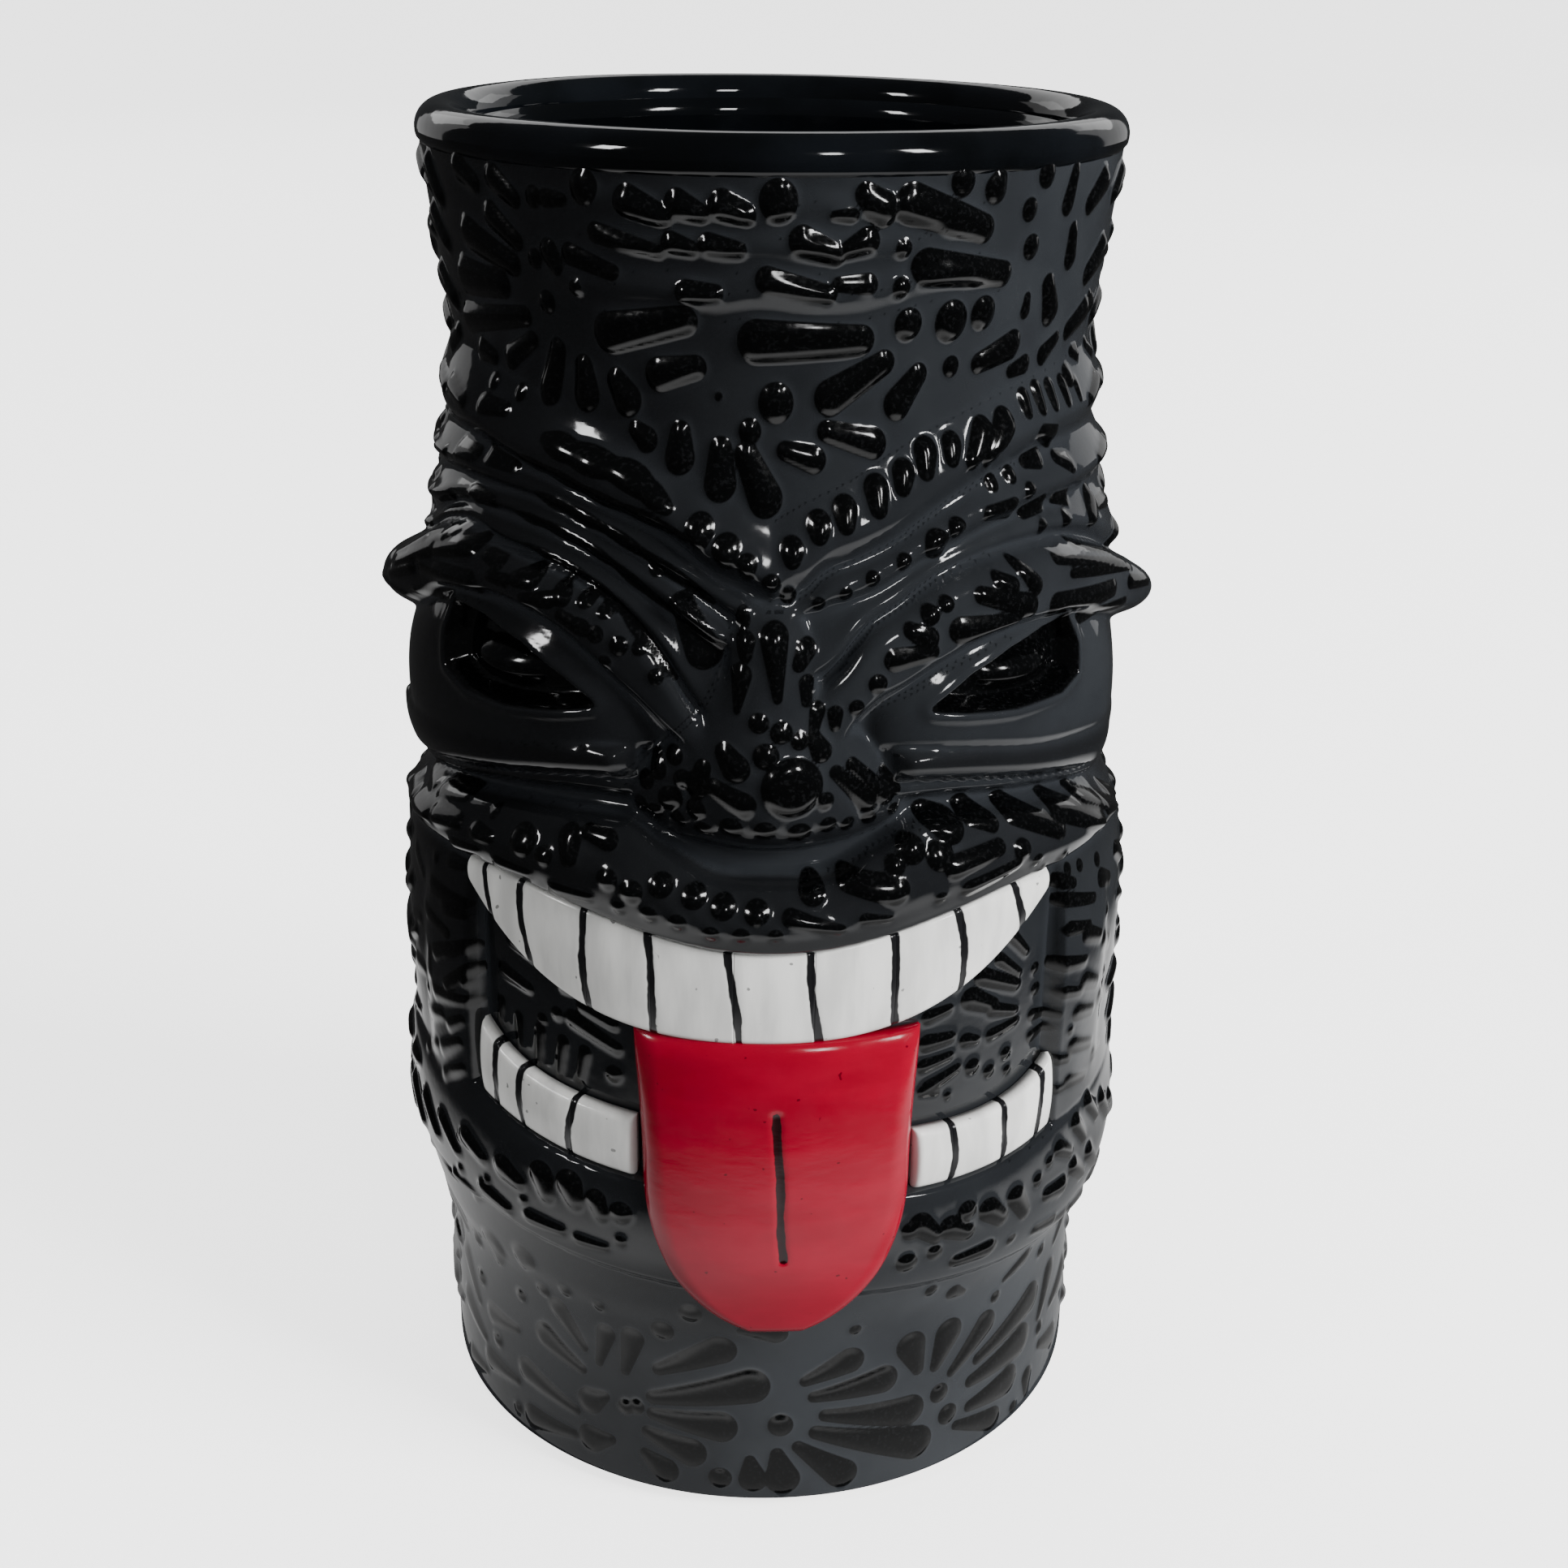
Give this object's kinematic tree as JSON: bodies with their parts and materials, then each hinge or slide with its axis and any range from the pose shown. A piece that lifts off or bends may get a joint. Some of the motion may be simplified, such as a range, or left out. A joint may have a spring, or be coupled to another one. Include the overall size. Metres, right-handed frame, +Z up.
{
  "type": "tiki mug",
  "caption": "Tall glazed ceramic drinking mug whose wall is a grinning carved tiki face with bared teeth and a stuck-out red tongue.",
  "frame": {"origin": "middle of the foot, on the surface that the mug stands on", "axes": "+Z up along the cup's axis to the rim, -Y out of the middle of the face, -X to the left as the viewer sees it"},
  "size_m": [0.0978, 0.0974, 0.17],
  "materials": {
    "black_glaze": "near-black slate gloss glaze",
    "white_enamel": "gloss white enamel over ceramic",
    "red_enamel": "gloss red enamel over ceramic",
    "bare_clay": "unglazed, dry"
  },
  "bodies": {
    "root": {"brow_left": "black_glaze", "brow_right": "black_glaze", "chevron_lower_left": "black_glaze", "chevron_lower_right": "black_glaze", "chevron_upper_left": "black_glaze", "chevron_upper_right": "black_glaze", "cup_body": "black_glaze", "eye_left": "black_glaze", "eye_right": "black_glaze", "foot_ring": "bare_clay", "forehead_wrinkle_lower": "black_glaze", "forehead_wrinkle_middle": "black_glaze", "forehead_wrinkle_upper": "black_glaze", "lower_lid_left": "black_glaze", "lower_lid_right": "black_glaze", "lower_lip_left": "black_glaze", "lower_lip_right": "black_glaze", "lower_tooth_left_1": "white_enamel", "lower_tooth_left_2": "white_enamel", "lower_tooth_left_3": "white_enamel", "lower_tooth_left_4": "white_enamel", "lower_tooth_right_1": "white_enamel", "lower_tooth_right_2": "white_enamel", "lower_tooth_right_3": "white_enamel", "lower_tooth_right_4": "white_enamel", "nose": "black_glaze", "rim_band": "black_glaze", "tongue": "red_enamel", "upper_lip": "black_glaze", "upper_tooth_1": "white_enamel", "upper_tooth_10": "white_enamel", "upper_tooth_2": "white_enamel", "upper_tooth_3": "white_enamel", "upper_tooth_4": "white_enamel", "upper_tooth_5": "white_enamel", "upper_tooth_6": "white_enamel", "upper_tooth_7": "white_enamel", "upper_tooth_8": "white_enamel", "upper_tooth_9": "white_enamel"}
  },
  "joints": []
}
